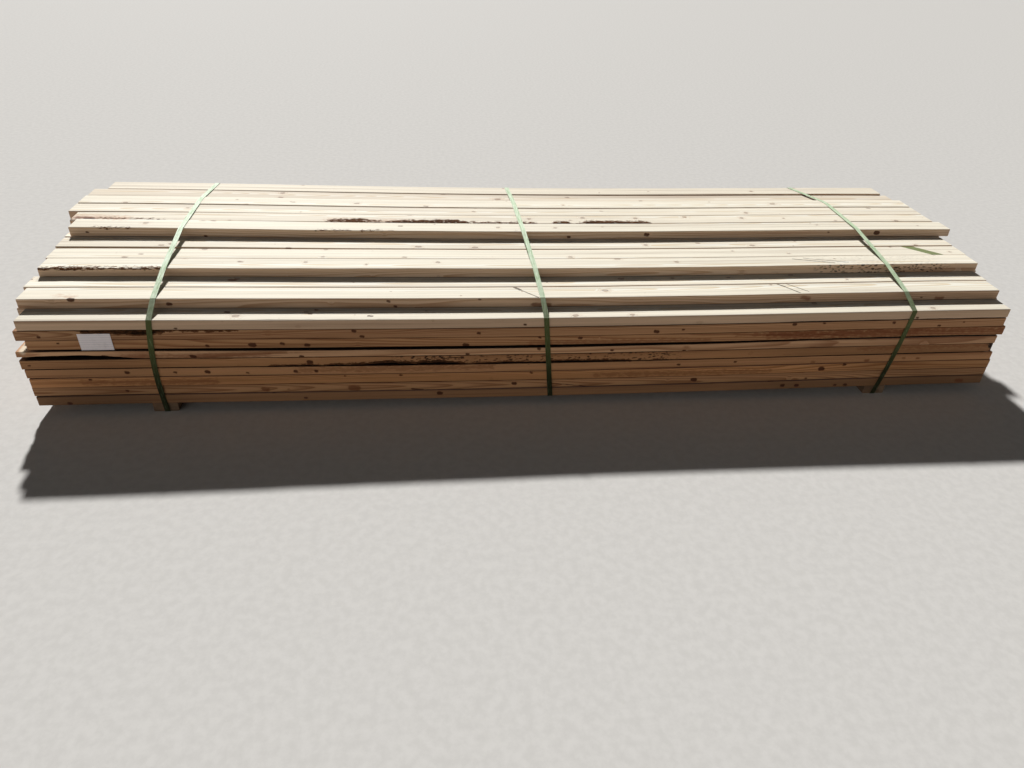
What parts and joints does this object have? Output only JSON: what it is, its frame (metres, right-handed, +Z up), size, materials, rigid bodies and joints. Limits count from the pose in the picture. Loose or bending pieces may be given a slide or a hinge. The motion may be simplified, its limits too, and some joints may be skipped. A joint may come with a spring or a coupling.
{
  "type": "bundle of pine studs",
  "caption": "Strapped bundle of softwood framing studs laid flat in courses, stepped down at the top front, on crosswise bearers that leave a gap for forks.",
  "frame": {"origin": "middle of the bundle's footprint, on the floor under the two outer straps", "axes": "+X along the studs, to the right when seen from the stepped front, +Y towards the upright back, +Z up"},
  "size_m": [3.75, 1.0864, 0.5],
  "materials": {
    "stud_wood": "planed, unfinished",
    "bearer_wood": "planed, unfinished, dirty",
    "strap": "embossed, slightly glossy",
    "label": "matte paper"
  },
  "bodies": {
    "root": {"course_01": "stud_wood", "course_02": "stud_wood", "course_03": "stud_wood", "course_04": "stud_wood", "course_05": "stud_wood", "course_06": "stud_wood", "course_07": "stud_wood", "course_08": "stud_wood", "course_09": "stud_wood", "course_10": "stud_wood", "course_11": "stud_wood", "course_12": "stud_wood", "bearer_left": "bearer_wood", "bearer_right": "bearer_wood", "strap_left": "strap", "strap_middle": "strap", "strap_right": "strap", "label": "label"}
  },
  "joints": []
}
